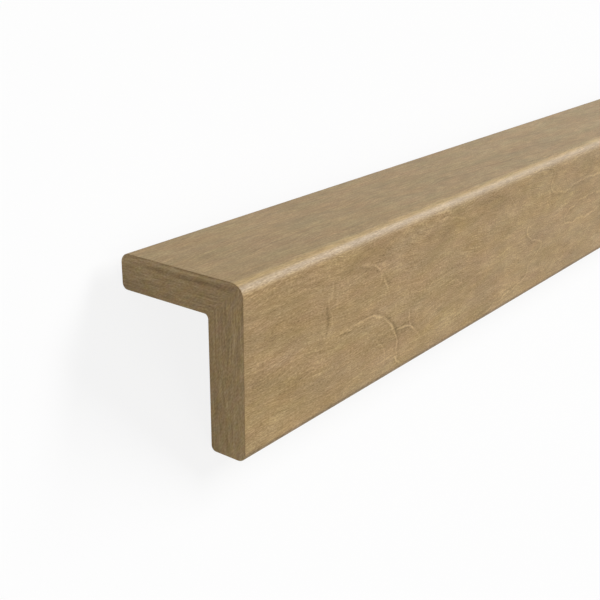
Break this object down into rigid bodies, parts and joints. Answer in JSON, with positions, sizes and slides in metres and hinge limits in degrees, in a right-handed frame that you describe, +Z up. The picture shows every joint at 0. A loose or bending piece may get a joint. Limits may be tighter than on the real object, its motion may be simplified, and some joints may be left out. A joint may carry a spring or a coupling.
{
  "type": "corner guard moulding",
  "caption": "Wooden L-section moulding with rounded edges and legs of unequal width, fixed over the outside corner of a wall to protect and finish it.",
  "frame": {"origin": "on the floor, under the middle of the length and halfway across it", "axes": "+X along the length, +Y towards the narrow leg's tip, +Z up, with the moulding lying on its two tips and the heel uppermost"},
  "size_m": [1.2, 0.0512, 0.0308],
  "materials": {
    "stained_hardwood": "satin lacquer over a light brown stain"
  },
  "bodies": {
    "root": {"corner_guard": "stained_hardwood"}
  },
  "joints": []
}
